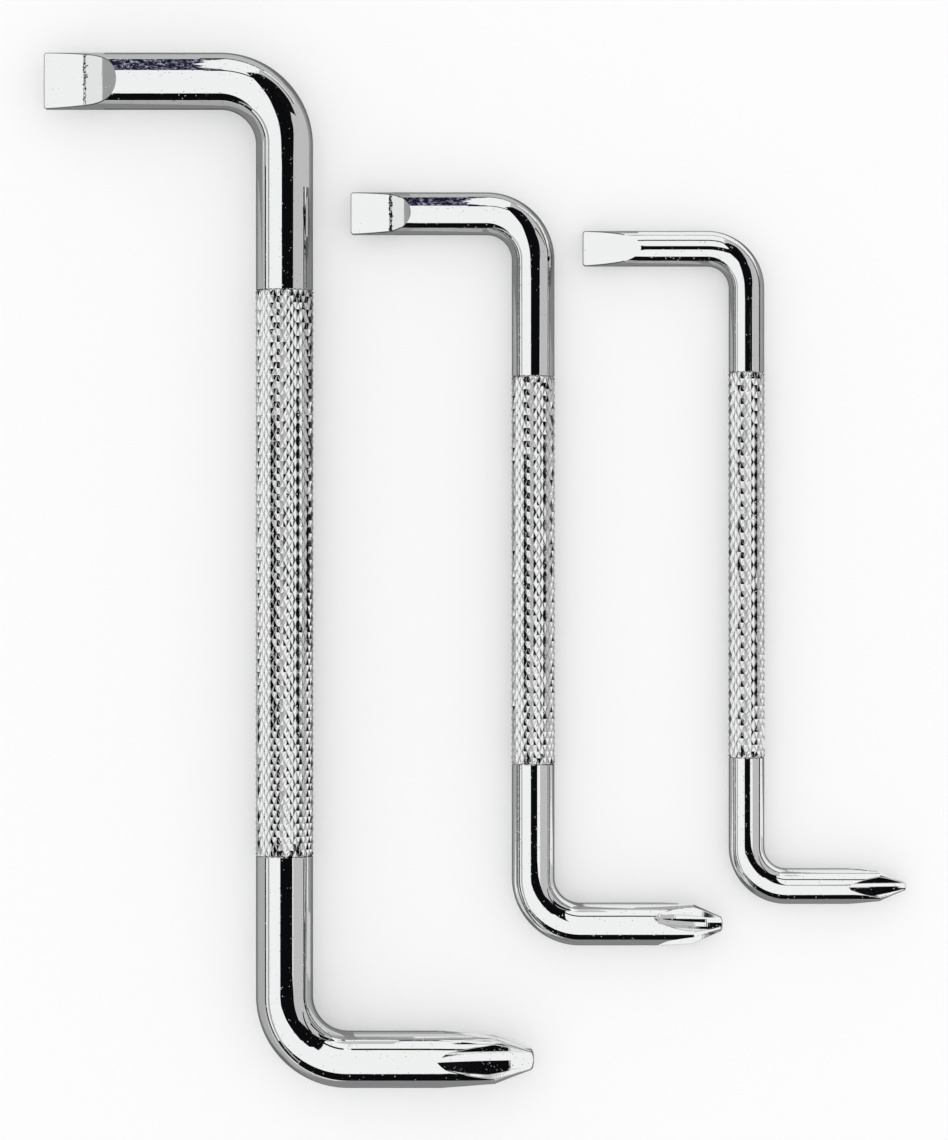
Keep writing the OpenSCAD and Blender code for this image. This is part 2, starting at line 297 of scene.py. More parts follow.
def round_edges(bm, root_x, root_side, width, finish):
    """Opens a tip's root, where it joins the bar, and bevels the sharp edges in a finish of their own."""
    bmesh.ops.remove_doubles(bm, verts=bm.verts, dist=MERGE_GAP)
    root = [face for face in bm.faces if abs(face.calc_center_median().x - root_x) < ROOT_GAP
            and face.normal.x * root_side > 0.9]
    bmesh.ops.delete(bm, geom=root, context="FACES_ONLY")
    sharp = [edge for edge in bm.edges if edge.is_manifold and edge.calc_face_angle() > BEVEL_ANGLE]
    strips = bmesh.ops.bevel(bm, geom=sharp, offset=width, offset_type="OFFSET", affect="EDGES", segments=2,
                             profile=0.5, material=-1, clamp_overlap=False)["faces"]
    strips = dict.fromkeys(strips)
    for face in strips:
        face.material_index = finish
    for edge in bm.edges:
        edge.smooth = len({face in strips for face in edge.link_faces}) == 1
    return len(sharp)


# %% [markdown]
# ## The slotted blade
# The blade has two flats that slope to a thin edge, and behind each flat a hollow ramp that a wheel has
# left. The wheel passes through the crease at the flat's end and through the bar's top at the blade's end.
# All of it that lies under the flat's plane is bisected away, and a slab that rests on that plane cuts the
# flat itself. Where the real blade shows a dark crease, a thin second wheel cuts it. Turning a cutter half
# round the arm makes the lower one without a mirror, so no cutter turns inside out.

# %% Build a blade
CORNER_BREAK = 0.3
BLADE_ROUND = 0.1
WHEEL_FACETS_PER_MM = 20
CREASE_R = 0.28
CREASE_FACETS = 48
CUTTER_SPARE = 1
RAMP_GAP = 0.01
ACROSS = Matrix.Rotation(math.radians(90), 4, "X")


def roller(radius, facets, width, place):
    """A wheel that lies across the arm."""
    made = bmesh.new()
    bmesh.ops.create_cone(made, cap_ends=True, segments=facets, radius1=radius, radius2=radius, depth=width,
                          matrix=place @ ACROSS)
    return made


def blade(tool):
    """The blade in its own frame: edge at the origin, arm along +X."""
    bar_r, ramp_r, taper = tool["bar_r"], tool["ramp_r"], math.radians(tool["taper"])
    cutter_w = tool["bar_d"] + 2 * CUTTER_SPARE
    blank = bmesh.new()
    ring = ring_on(blank, tool["around"], bar_r, (0, 0, 0), FACING_X)
    run_on(blank, ring, (tool["blade_l"] + LAND, 0, 0))
    close_ends(blank)
    for side in (1, -1):
        trim(blank, (0, side * (bar_r - CORNER_BREAK), 0), (-1, side, 0), clear_outer=True)

    plane_at, flat_up = Vector((0, 0, tool["edge_t"] / 2)), Vector((-math.sin(taper), 0, math.cos(taper)))
    crease_at = plane_at + Vector((tool["flat_l"], 0, tool["flat_l"] * math.tan(taper)))
    ramp = Vector((tool["blade_l"], 0, bar_r)) - crease_at
    stand_off = math.sqrt(ramp_r ** 2 - ramp.length_squared / 4)
    hub = crease_at + ramp / 2 + stand_off * Vector((-ramp.z, 0, ramp.x)).normalized()
    groove_up = (flat_up + (hub - crease_at).normalized()).normalized()
    cutters = []
    for half_turn in (0, 180):
        turned = Matrix.Rotation(math.radians(half_turn), 4, "X")
        wheel = roller(ramp_r, round(WHEEL_FACETS_PER_MM * ramp_r), cutter_w, Matrix.Translation(hub))
        trim(wheel, plane_at, flat_up, clear_inner=True)
        bmesh.ops.transform(wheel, verts=wheel.verts, matrix=turned)
        slab = bmesh.new()
        slab_l, slab_w = tool["flat_l"] / math.cos(taper) + CUTTER_SPARE, tool["bar_d"] + CUTTER_SPARE
        on_flat = turned @ Matrix.Translation(crease_at) @ Matrix.Rotation(-taper, 4, "Y")
        bmesh.ops.create_cube(slab, size=1, matrix=on_flat @ Matrix.Translation((-slab_l / 2, 0, bar_r / 2))
                              @ Matrix.Diagonal((slab_l, slab_w, bar_r, 1)))
        cutters += [wheel, slab]
        if tool["crease"]:
            centre = crease_at + groove_up * (CREASE_R - tool["crease"])
            cutters.append(roller(CREASE_R, CREASE_FACETS, cutter_w, turned @ Matrix.Translation(centre)))
    tip = carve(blank, cutters)
    for face in tip.faces:
        middle = face.calc_center_median()
        from_hub = math.hypot(middle.x - hub.x, abs(middle.z) - hub.z)
        on_ramp = abs(from_hub - ramp_r) < RAMP_GAP and abs(face.normal.y) < 0.05
        face.material_index = RAMP if on_ramp else BLADE
    tool["crease_half"] = math.sqrt(bar_r ** 2 - crease_at.z ** 2)
    print("  blade:", sum(face.material_index == RAMP for face in tip.faces), "ramp faces,",
          round_edges(tip, tool["blade_l"] + LAND, 1, BLADE_ROUND, EDGE), "edges rounded")
    return tip


# %% [markdown]
# ## The cross point
# The point is a cone with a blunt nose, and four milled flutes leave four wings on it. Each flute is cut by
# the rim of a wheel that leaves a core at the tip and runs out on the bar's surface. The rim's outline, a
# blunt V with flanks at half a right angle, is drawn as five points and spun, but only through the part of
# the turn that meets the steel, which keeps the cutters small and clear of each other.

# %% Build a cross point
FLUTE_FLOOR_SLOPE = math.radians(17)
WHEEL_SWEEP = (-12, 80)
FLUTE_STEPS = 96
DOME_STEPS = 6
DOME_END = math.radians(84)
POINT_ROUND = 0.06


def flute_cutter(bm, tool, turn):
    """Adds the part of a flute wheel that cuts one flute into a point whose end is at the origin."""
    depth = tool["bar_r"] - tool["core"]
    wheel_r = (tool["flute_l"] ** 2 + depth ** 2) / (2 * depth)
    half_w, reach = tool["floor_w"] / 2, depth + 1
    shoulder = wheel_r - half_w * math.tan(FLUTE_FLOOR_SLOPE)
    rim = [(wheel_r, 0), (shoulder, half_w), (shoulder - reach, half_w + reach),
           (shoulder - reach, -half_w - reach), (shoulder, -half_w)]
    facing = Matrix.Rotation(math.radians(-turn), 4, "X")
    axle = Vector((0, 0, tool["core"] + wheel_r))
    start, sweep = (math.radians(angle) * tool["flute_l"] / wheel_r for angle in WHEEL_SWEEP)
    first = facing @ Matrix.Translation(axle) @ Matrix.Rotation(start, 4, "Y")
    corners = [bm.verts.new(first @ Vector((0, across, -radius))) for radius, across in rim]
    loop = [bm.edges.new((corners[i - 1], corners[i])) for i in range(len(corners))]
    bmesh.ops.spin(bm, geom=corners + loop, cent=facing @ axle, axis=facing @ Vector((0, 1, 0)),
                   dvec=(0, 0, 0), angle=sweep, steps=FLUTE_STEPS, use_duplicate=False)


def cross_point(tool):
    """The point in its own frame: end at the origin, arm along -X."""
    bar_r, tip_r, nose_l = tool["bar_r"], tool["tip_d"] / 2, tool["nose_l"]
    blank = bmesh.new()
    root_x = -tool["flute_l"] - LAND
    ring = ring_on(blank, tool["around"], bar_r, (root_x, 0, 0), FACING_X)
    ring = run_on(blank, ring, (-root_x - nose_l - tool["cone_l"], 0, 0))
    ring = shrink_on(blank, ring, (tool["cone_l"], 0, 0), tip_r / bar_r, (0, 0, 0))
    for step in range(DOME_STEPS):
        low, high = (DOME_END * (step + i) / DOME_STEPS for i in (0, 1))
        ring = shrink_on(blank, ring, (nose_l * (math.sin(high) - math.sin(low)), 0, 0),
                         math.cos(high) / math.cos(low), (0, 0, 0))
    close_ends(blank)
    flutes = bmesh.new()
    for quarter in (0, 90, 180, 270):
        flute_cutter(flutes, tool, tool["turn"] + quarter)
    close_ends(flutes)
    tip = carve(blank, [flutes])
    for face in tip.faces:
        face.material_index = POINT
    print("  point:", round_edges(tip, root_x, -1, POINT_ROUND, POINT), "edges rounded")
    return tip


# %% [markdown]
# ## One skin for each tool
# A real tool is one piece of steel, so knurl, bent ends and tips are welded into one closed mesh. The rings
# were made with equal counts and at equal angles, so bridging closes the knurl's ends and merging doubles
# closes the tips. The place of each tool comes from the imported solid's own box. A count of open edges
# proves the weld.

# %% Weld, place and count
KNURL_ANGLE = math.radians(8)
WELD_GAP = 0.002


def pour(bm, part, place):
    """Adds a part to a bmesh at its place."""
    bmesh.ops.translate(part, verts=part.verts, vec=place)
    mesh = bpy.data.meshes.new("part")
    part.to_mesh(mesh)
    part.free()
    bm.from_mesh(mesh)
    bpy.data.meshes.remove(mesh)


def screwdriver(node, tool):
    """The whole tool as one closed mesh object, in metres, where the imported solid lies."""
    bm = bmesh.new()
    top, bottom = knurl(bm, tool)
    for knurl_ring, side, reach, tip_l in ((top, 1, tool["blade_reach"], tool["blade_l"]),
                                           (bottom, -1, tool["point_reach"], tool["flute_l"])):
        bar_ring = bent_end(bm, tool, side, reach, tip_l)
        bmesh.ops.bridge_loops(bm, edges=knurl_ring + bar_ring)
    pour(bm, blade(tool), (-tool["blade_reach"], tool["arm_y"], 0))
    pour(bm, cross_point(tool), (tool["point_reach"], -tool["arm_y"], 0))
    bmesh.ops.remove_doubles(bm, verts=bm.verts, dist=WELD_GAP)
    bmesh.ops.recalc_face_normals(bm, faces=bm.faces)

    low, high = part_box(node)
    tool["place"] = Vector((low.x / MM + tool["blade_reach"], (low.y + high.y) / 2 / MM,
                            (low.z + high.z) / 2 / MM))
    bmesh.ops.transform(bm, verts=bm.verts, matrix=Matrix.Scale(MM, 4) @ Matrix.Translation(tool["place"]))
    open_edges = sum(not edge.is_manifold for edge in bm.edges)
    for edge in bm.edges:
        limit = KNURL_ANGLE if any(face.material_index == KNURL for face in edge.link_faces) else SHARP_ANGLE
        edge.smooth = edge.smooth and edge.calc_face_angle(0) < limit
    for face in bm.faces:
        face.smooth = True
    made = mesh_object(bm, node + "_skin")
    print(node, "has", len(made.data.polygons), "faces and", open_edges, "open edges")
    return made


skins = {node: screwdriver(node, tool) for node, tool in TOOLS.items()}

# %% [markdown]
# ## Relief that plating leaves
# Bright chrome is never a perfect mirror: polishing leaves long shallow waves, the bath leaves pinhead
# specks, and a drawer full of tools leaves hairlines. Each effect is a node group with its own inputs, so
# that the bars, the knurl and the ground tips can use it at different strengths. A group gives only a
# height or a mask, and the shader stays in the material.

# %% Node groups for relief
def add(tree, kind, **settings):
    """Adds a node. A setting that names an input socket sets it, and any other setting is the node's own."""
    made = tree.nodes.new(kind)
    for name, value in settings.items():
        label = name.replace("_", " ")
        if label in made.inputs:
            made.inputs[label].default_value = value
        else:
            setattr(made, name, value)
    return made


def wire(tree, *pairs):
    """Links outputs to inputs, pair by pair."""
    for output, socket in pairs:
        tree.links.new(output, socket)


def maths(tree, operation, *values):
    """Adds a Math node that works on the given outputs, and returns its own output."""
    made = add(tree, "ShaderNodeMath", operation=operation)
    wire(tree, *zip(values, made.inputs))
    return made.outputs["Value"]


def relief_group(name, inputs, output):
    """A node group that takes a place and some values, and gives one value."""
    group = bpy.data.node_groups.new(name, "ShaderNodeTree")
    group.interface.new_socket(name="Place", in_out="INPUT", socket_type="NodeSocketVector")
    for label, value in inputs.items():
        made = group.interface.new_socket(name=label, in_out="INPUT", socket_type="NodeSocketFloat")
        made.default_value = value
    group.interface.new_socket(name=output, in_out="OUTPUT", socket_type="NodeSocketFloat")
    return group, group.nodes.new("NodeGroupInput").outputs, group.nodes.new("NodeGroupOutput").inputs


waves, given, result = relief_group("polishing_waves", {"Waves per metre": 300}, "Height")
swell = add(waves, "ShaderNodeTexNoise", Detail=1.5, Roughness=0.45)
wire(waves, (given["Place"], swell.inputs["Vector"]), (given["Waves per metre"], swell.inputs["Scale"]),
     (swell.outputs["Fac"], result["Height"]))

specks, given, result = relief_group("plating_specks", {"Specks per metre": 4600, "Share": 0.1}, "Mask")
cells = add(specks, "ShaderNodeTexVoronoi", feature="F1", Randomness=1)
parts = add(specks, "ShaderNodeSeparateColor")
dot = add(specks, "ShaderNodeMapRange", From_Min=0.0, From_Max=0.42, To_Min=1.0, To_Max=0.0)
wire(specks, (given["Place"], cells.inputs["Vector"]), (given["Specks per metre"], cells.inputs["Scale"]),
     (cells.outputs["Color"], parts.inputs["Color"]), (cells.outputs["Distance"], dot.inputs["Value"]))
chosen = maths(specks, "LESS_THAN", parts.outputs["Red"], given["Share"])
wire(specks, (maths(specks, "MULTIPLY", chosen, dot.outputs["Result"]), result["Mask"]))

hairs, given, result = relief_group("handling_hairlines", {"Lines per metre": 700}, "Mask")
stretch = add(hairs, "ShaderNodeMapping", Rotation=(0.3, 0.2, 0.9), Scale=(1, 0.06, 1))
lines = add(hairs, "ShaderNodeTexNoise", Detail=2, Roughness=0.6)
thin = add(hairs, "ShaderNodeMapRange", From_Min=0.63, From_Max=0.72, To_Min=0.0, To_Max=1.0)
wire(hairs, (given["Place"], stretch.inputs["Vector"]), (stretch.outputs["Vector"], lines.inputs["Vector"]),
     (given["Lines per metre"], lines.inputs["Scale"]), (lines.outputs["Fac"], thin.inputs["Value"]),
     (thin.outputs["Result"], result["Mask"]))
print("relief groups:", [group.name for group in (waves, specks, hairs)])

# %% [markdown]
# ## Marks of the machines
# Where the grinding wheel stopped on the larger blades, the flat ends in a crease, and a ragged dark line is
# painted along it as painted shade. It runs straight across the flat, so its group measures the distance
# along X from a given line, shakes that line with noise, and stops at the flat's sides. The cutter of the
# cross point leaves fine lines across the flutes, which a wave along X draws as relief.

# %% Node groups for machine marks
crease, given, result = relief_group("crease_shade_line", {"Line": 0.0, "Half width": 0.0002, "Middle": 0.0,
                                                         "Half length": 0.004}, "Mask")
apart = add(crease, "ShaderNodeSeparateXYZ")
shake = add(crease, "ShaderNodeTexNoise", Scale=1900, Detail=3, Roughness=0.7)
shift = add(crease, "ShaderNodeMapRange", To_Min=-0.001, To_Max=0.001)
wire(crease, (given["Place"], apart.inputs[0]), (given["Place"], shake.inputs["Vector"]),
     (shake.outputs["Fac"], shift.inputs["Value"]))
offset = maths(crease, "SUBTRACT", apart.outputs["X"], given["Line"])
away = maths(crease, "ABSOLUTE", maths(crease, "ADD", offset, shift.outputs["Result"]))
inside = maths(crease, "LESS_THAN", away, given["Half width"])
aside = maths(crease, "ABSOLUTE", maths(crease, "SUBTRACT", apart.outputs["Y"], given["Middle"]))
on_flat = maths(crease, "LESS_THAN", aside, given["Half length"])
wire(crease, (maths(crease, "MULTIPLY", inside, on_flat), result["Mask"]))

milling, given, result = relief_group("milling_lines", {"Lines per metre": 1250}, "Height")
cutter_marks = add(milling, "ShaderNodeTexWave", wave_type="BANDS", bands_direction="X", Distortion=1.5,
                   Detail=2, Detail_Scale=1.0)
wire(milling, (given["Place"], cutter_marks.inputs["Vector"]),
     (given["Lines per metre"], cutter_marks.inputs["Scale"]),
     (cutter_marks.outputs["Fac"], result["Height"]))
print("machine marks:", [group.name for group in (crease, milling)])

# %% [markdown]
# ## The chrome
# Chrome is a metal with a nearly neutral, slightly cool reflection. Its colour stays plain except where shade
# is painted into it, and the waves, specks and hairlines of the groups go through Bump nodes and into the
# roughness. All of them read Object coordinates, which are metres here, so a pattern has its real size and
# stays with the steel in every view. The ground ramps are a little duller than the polished bar, the blades'
# rounded edges are painted dark as a painted shade outline, and the knurl's grooves are painted darker with
# dirt and painted shade.

# %% Chrome materials
CHROME = (0.86, 0.87, 0.868)
CREASE_SHADE = (0.02, 0.02, 0.022)
GROOVE_DIRT_AND_SHADE = (0.2, 0.2, 0.2)
GROOVE_DIRT_AND_SHADE_SHARE = 0.35


def paint_shade_and_dirt(tree, shader, mask, clean, dirty):
    """Mixes a darker colour into a shader's base colour where a mask says so, as painted shade, with dirt in
    the knurl.
    """
    mix = add(tree, "ShaderNodeMix", data_type="RGBA")
    mix.inputs[6].default_value, mix.inputs[7].default_value = (*clean, 1), (*dirty, 1)
    wire(tree, (mask, mix.inputs[0]), (mix.outputs[2], shader.inputs["Base Color"]))


def chrome(name, tint=1.0, wave_height=0.012, speck_height=0.025, speck_share=0.06, roughness=(0.03, 0.12),
           lines_height=0.0):
    """Chrome plate. Heights are in millimetres, and roughness runs from clean plate to a hairline."""
    material = bpy.data.materials.new(name)
    material.use_nodes = True
    tree = material.node_tree
    shader = tree.nodes["Principled BSDF"]
    shader.inputs["Base Color"].default_value = (*(part * tint for part in CHROME), 1)
    shader.inputs["Metallic"].default_value = 1
    place = add(tree, "ShaderNodeTexCoord").outputs["Object"]
    normal = None
    for group, height in ((waves, wave_height), (specks, speck_height), (milling, lines_height)):
        if height:
            effect = add(tree, "ShaderNodeGroup", node_tree=group)
            bump = add(tree, "ShaderNodeBump", Strength=1.0, Distance=height * MM)
            wire(tree, (place, effect.inputs["Place"]), (effect.outputs[0], bump.inputs["Height"]))
            if group == specks:
                effect.inputs["Share"].default_value = speck_share
            if normal:
                wire(tree, (normal, bump.inputs["Normal"]))
            normal = bump.outputs["Normal"]
    wire(tree, (normal, shader.inputs["Normal"]))
    hair = add(tree, "ShaderNodeGroup", node_tree=hairs)
    gloss = add(tree, "ShaderNodeMapRange", To_Min=roughness[0], To_Max=roughness[1])
    wire(tree, (place, hair.inputs["Place"]), (hair.outputs["Mask"], gloss.inputs["Value"]),
         (gloss.outputs["Result"], shader.inputs["Roughness"]))
    return material, tree, shader, place


def blade_chrome(name, tool):
    """Chrome for one blade's flats and ramps, with a dark line of painted shade along the crease between
    them.
    """
    made = []
    for part, tint in (("flat", 1.0), ("ramp", 0.88 if tool["crease"] else 1.0)):
        material, tree, shader, place = chrome(f"{name}_{part}_chrome", tint=tint, speck_share=0.03,
                                               roughness=(0.05, 0.16))
        if tool["crease"]:
            crease_shade = add(tree, "ShaderNodeGroup", node_tree=crease)
            crease_shade.inputs["Line"].default_value = (tool["place"].x - tool["blade_reach"] + tool["flat_l"]) * MM
            crease_shade.inputs["Middle"].default_value = (tool["place"].y + tool["arm_y"]) * MM
            crease_shade.inputs["Half width"].default_value = tool["crease_w"] / 2 * MM
            crease_shade.inputs["Half length"].default_value = tool["crease_half"] * MM
            wire(tree, (place, crease_shade.inputs["Place"]))
            # The dark crease line is painted shade mixed into the base colour.
            paint_shade_and_dirt(tree, shader, crease_shade.outputs["Mask"], [part * tint for part in CHROME], CREASE_SHADE)
        made.append(material)
    return made


bar_chrome = chrome("bar_chrome")[0]
# The blades' rounded edges get chrome painted dark: painted shade that outlines each blade.
edge_shade_chrome = chrome("edge_shade_chrome", tint=0.2, roughness=(0.15, 0.3))[0]
point_chrome = chrome("point_chrome", lines_height=0.0008, roughness=(0.04, 0.12))[0]
knurl_chrome, tree, shader, _ = chrome("knurl_chrome", wave_height=0.02, speck_height=0.02,
                                       roughness=(0.06, 0.16))
# The grooves are painted darker towards their bottoms, as dirt together with painted shade.
depth = add(tree, "ShaderNodeAttribute", attribute_name="groove")
groove_dirt_and_shade = add(tree, "ShaderNodeMapRange", From_Min=0.5, From_Max=1.0, To_Min=0.0, To_Max=GROOVE_DIRT_AND_SHADE_SHARE)
wire(tree, (depth.outputs["Fac"], groove_dirt_and_shade.inputs["Value"]))
paint_shade_and_dirt(tree, shader, groove_dirt_and_shade.outputs["Result"], CHROME, GROOVE_DIRT_AND_SHADE)
for node, tool in TOOLS.items():
    flat_chrome, ramp_chrome = blade_chrome(node.split("_")[0], tool)
    for material in (bar_chrome, knurl_chrome, flat_chrome, ramp_chrome, edge_shade_chrome, point_chrome):
        skins[node].data.materials.append(material)
    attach(skins[node], "root")
    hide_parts(node)
print("chrome on", [skin.name for skin in skins.values()])

# %% [markdown]
# ## Floor and light
# The tools lie on a sheet of white paper in an even white studio. The world is plain white at strength 1,
# so a colour looks as it is written, and the paper's own colour keeps a soft shadow round each bar.

# %% Paper and world
PAPER_WHITE = (0.985, 0.985, 0.985, 1)


def stage_object(bm, name, material):
    """An object of the stage, which is no part of the tools."""
    made = mesh_object(bm, name)
    made.data.materials.append(material)
    return made


paper = bpy.data.materials.new("white_paper")
paper.use_nodes = True
paper.node_tree.nodes["Principled BSDF"].inputs["Base Color"].default_value = PAPER_WHITE
paper.node_tree.nodes["Principled BSDF"].inputs["Roughness"].default_value = 0.9
sheet = bmesh.new()
bmesh.ops.create_grid(sheet, x_segments=1, y_segments=1, size=3)
stage_object(sheet, "paper_floor", paper)

studio = bpy.data.worlds.new("white_studio")
studio.use_nodes = True
studio.node_tree.nodes["Background"].inputs["Color"].default_value = (1, 1, 1, 1)
studio.node_tree.nodes["Background"].inputs["Strength"].default_value = 1.0
bpy.context.scene.world = studio
print("paper and world are set")

# %% [markdown]
# ## Cards for the reflections
# A mirror-bright bar in an all-white room would vanish, so a photographer of chrome stands cards round it:
# black and grey shapes whose reflections draw the bars. They are seen by glossy rays alone and cast no
# shadow, so they neither darken the paper nor show in any view. Each card is seen from its front only, so
# that it belongs to one bar and doesn't disturb the next one.

# %% Card material and helper
def seen_in_chrome(name):
    """An empty material that shows a shader on its front only, and not to light that has left the paper."""
    material = bpy.data.materials.new(name)
    material.use_nodes = True
    tree = material.node_tree
    tree.nodes.clear()
    clear = add(tree, "ShaderNodeBsdfTransparent")
    side = add(tree, "ShaderNodeNewGeometry")
    path = add(tree, "ShaderNodeLightPath")
    hidden = maths(tree, "MAXIMUM", side.outputs["Backfacing"], path.outputs["Diffuse Depth"])
    mix = add(tree, "ShaderNodeMixShader")
    out = add(tree, "ShaderNodeOutputMaterial")
    wire(tree, (hidden, mix.inputs[0]), (clear.outputs[0], mix.inputs[2]),
         (mix.outputs[0], out.inputs["Surface"]))
    return material, tree, mix.inputs[1]


def card_material(name, colour, mottle=None, light_patch_range=None):
    """A card that glows evenly or in mottled shades, whose lighter patches are painted glints in the bars'
    dark band.
    """
    material, tree, front = seen_in_chrome(name)
    glow = add(tree, "ShaderNodeEmission", Color=(*colour, 1), Strength=1.0)
    wire(tree, (glow.outputs[0], front))
    if mottle:
        place = add(tree, "ShaderNodeTexCoord")
        flatten = add(tree, "ShaderNodeMapping", Scale=(1, 1, 0.25))
        clouds = add(tree, "ShaderNodeTexNoise", Scale=1500, Detail=4, Roughness=0.75)
        patches = add(tree, "ShaderNodeMapRange", From_Min=light_patch_range[0], From_Max=light_patch_range[1])
        blend = add(tree, "ShaderNodeMix", data_type="RGBA")
        blend.inputs[6].default_value, blend.inputs[7].default_value = (*colour, 1), (*mottle, 1)
        wire(tree, (place.outputs["Object"], flatten.inputs["Vector"]),
             (flatten.outputs["Vector"], clouds.inputs["Vector"]),
             (clouds.outputs["Fac"], patches.inputs["Value"]), (patches.outputs["Result"], blend.inputs[0]),
             (blend.outputs[2], glow.inputs["Color"]))
    return material


def cloth_material(name, shade):
    """A plain matt cloth, seen in reflections only, which takes the tools' soft shadow and mostly carries
    painted shade.
    """
    material, tree, front = seen_in_chrome(name)
    matt = add(tree, "ShaderNodeBsdfDiffuse", Color=(shade, shade, shade, 1))
    wire(tree, (matt.outputs[0], front))
    return material


CARDS = {"black": card_material("black_card", (0.004, 0.004, 0.005)),
         "navy": card_material("navy_card", (0.012, 0.012, 0.035), mottle=(0.7, 0.7, 0.85), light_patch_range=(0.52, 0.7)),
         "grey": card_material("grey_card", (0.58, 0.565, 0.57)),
         "dim": card_material("dim_card", (0.42, 0.42, 0.42)),
         # The cloths are grey table with painted shade, darkest close under the bars.
         "pale_painted_shade": cloth_material("pale_painted_shade", 0.55),
         "light_painted_shade": cloth_material("light_painted_shade", 0.7),
         "left_grey_and_shade": cloth_material("left_grey_and_shade", 0.45),
         "right_grey_and_shade": cloth_material("right_grey_and_shade", 0.35),
         "black_cloth": cloth_material("black_cloth", 0.02),
         "front_painted_shade": cloth_material("front_painted_shade", 0.26),
         "near_painted_shadow": cloth_material("near_painted_shadow", 0.28),
         "deep_painted_shadow": cloth_material("deep_painted_shadow", 0.17)}


def card(name, shade, corners, faces):
    """A flat card through its corners, with its front towards a point. Lengths are in millimetres."""
    bm = bmesh.new()
    sheet = bm.faces.new([bm.verts.new(Vector(corner) * MM) for corner in corners])
    sheet.normal_update()
    if sheet.normal.dot(Vector(faces) * MM - sheet.calc_center_median()) < 0:
        sheet.normal_flip()
    made = stage_object(bm, name, CARDS[shade])
    made.visible_camera = made.visible_diffuse = made.visible_shadow = False
    made.visible_transmission = made.visible_volume_scatter = False


def board(name, shade, x_range, y, z_range, faces):
    """A card that stands upright along X."""
    (x_from, x_to), (z_from, z_to) = x_range, z_range
    card(name, shade, [(x_from, y, z_from), (x_to, y, z_from), (x_to, y, z_to), (x_from, y, z_to)], faces)


def wall(name, shade, x, y_range, z_range, faces=(0, 0, 0)):
    """A card that stands upright along Y."""
    (y_from, y_to), (z_from, z_to) = y_range, z_range
    card(name, shade, [(x, y_from, z_from), (x, y_to, z_from), (x, y_to, z_to), (x, y_from, z_to)], faces)


def shelf(name, shade, x_range, y_range, z):
    """A card that hangs level over the tools, with its front down."""
    (x_from, x_to), (y_from, y_to) = x_range, y_range
    card(name, shade, [(x_from, y_from, z), (x_to, y_from, z), (x_to, y_to, z), (x_from, y_to, z)], (0, 0, 0))


def rug(name, shade, corners, height):
    """A cloth of any outline on the table, a hair above it."""
    card(name, shade, [(*corner, height) for corner in corners], (0, 0, 1e3))


def cloth(name, shade, x_range, y_range, height):
    """A cloth with square corners."""
    (x_from, x_to), (y_from, y_to) = x_range, y_range
    rug(name, shade, [(x_from, y_from), (x_to, y_from), (x_to, y_to), (x_from, y_to)], height)


print("cards:", sorted(CARDS))

# %% [markdown]
# ## Cards over the bars
# Near cards are measured in quarters of a bar's radius, so that most numbers serve every tool. A black
# strip over each plain stretch of the bar draws its dark band and follows the bend. A black card over the
# grip and a grey one beside it shade the knurl, and the black one leans, so that the next bar sees only its
# clear back. A small card over the cross point darkens the flutes, whose square flanks throw light back to
# where it came from.

# %% Cards over the bars
STRIP_UP, SCREEN_UP = 7, 12
LOWER_STRIPS = {"large": (-1.2, 3.5), "medium": (-1.25, 1.95), "small": (-1.55, 1.75)}
UPPER_STRIPS = {"large": (-0.65, 3.95), "medium": (-1.2, 2.5), "small": (-1.35, 1.65)}
LOWER_END = [(0.3, 5.4), (2.4, 3.2), (3.9, 2.3), (4.6, 2.6), (5.8, 4.2), (5, 6)]
UPPER_END = [(0, 9), (-4.2, 4.6), (-1.8, -2)]
UPPER_SIDES = {"large": [(5.4, -2), (14.6, 0.8), (14.3, 8.4), (9, 12), (3.3, 12)],
               "medium": [(4.4, 0), (4.6, 10)], "small": [(3.8, 0), (4.6, 10)]}
GRIP_STRIP = ((-1.5, 40), (6.7, 25.8))
GRIP_SCREEN = (7, 15)
POINT_STRIPS = {"large": ((0.845, 0.15), (-3.2, 3.2)), "medium": ((0.55, 0.12), (0.1, 1.1)),
                "small": ((0.52, -0.1), (-3.2, 3.2))}


def landmarks(node, tool):
    """The places on one tool by which its cards are set, in millimetres."""
    x, y, z = tool["place"]
    tip = x - tool["blade_reach"]
    return SimpleNamespace(
        name=node.split("_")[0], bar_r=tool["bar_r"], unit=tool["bar_r"] / 4, x=x, y=y, z=z, tip=tip,
        end=x + tool["point_reach"], top=y + tool["arm_y"], bottom=y - tool["arm_y"], bend_r=tool["bend_r"],
        grip_top=y + tool["grip_top"], grip_bottom=y + tool["grip_bottom"], blade_root=tip + tool["blade_l"],
        flute_l=tool["flute_l"])


def strips_over(at):
    """The black strips over the plain bar, one below the grip and one above it."""
    strip_z = at.z + STRIP_UP * at.unit
    from_x, to_x = LOWER_STRIPS[at.name]
    outline = [(from_x, 9), (from_x + 0.2, 7.5), *LOWER_END, (to_x + 0.6, 9), (to_x, 12)]
    card(f"{at.name}_lower_strip", "black",
         [(at.x + across * at.unit, at.bottom + along * at.unit, strip_z) for across, along in outline]
         + [(at.x + across * at.unit, at.grip_bottom, strip_z) for across in (to_x, from_x)], (at.x, at.y, 0))
    from_x, to_x = UPPER_STRIPS[at.name]
    outline = [(to_x, -12), (to_x + 0.7, -4), *UPPER_SIDES[at.name], *UPPER_END,
               (from_x - 0.4, -6), (from_x, -12)]
    card(f"{at.name}_upper_strip", "black",
         [(at.x + across * at.unit, at.grip_top, strip_z) for across in (from_x, to_x)]
         + [(at.x + across * at.unit, at.top + along * at.unit, strip_z) for across, along in outline],
         (at.x, at.y, 0))


